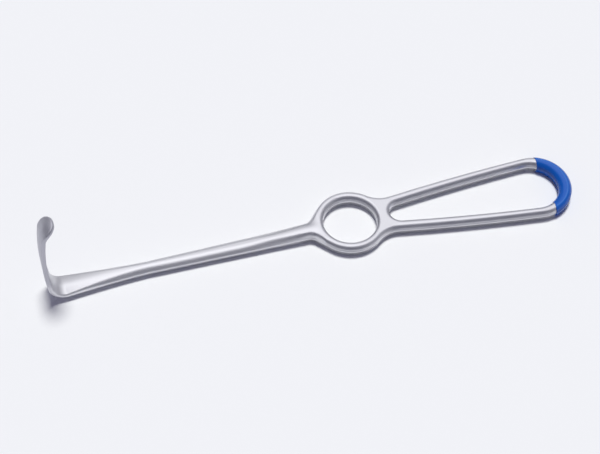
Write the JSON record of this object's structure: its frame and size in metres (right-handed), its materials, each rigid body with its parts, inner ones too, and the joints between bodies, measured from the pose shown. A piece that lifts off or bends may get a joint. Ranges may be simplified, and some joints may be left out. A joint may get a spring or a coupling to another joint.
{
  "type": "handheld surgical retractor",
  "caption": "Hand-held retractor: a flat loop handle with a coloured end, a finger ring, and a round shaft that flares into an upturned blade with a curled lip.",
  "frame": {"origin": "centre of the finger ring, at half the thickness of the flat handle", "axes": "+Z along the finger ring's axis, the way the blade stands up; +X from the ring to the closed end of the loop, with the blade at -X"},
  "size_m": [0.2157, 0.0294, 0.0443],
  "materials": {
    "steel": "satin, bead blasted; the closed end of the loop has a glossy blue coat"
  },
  "bodies": {
    "root": {"retractor_body": "steel"}
  },
  "joints": []
}
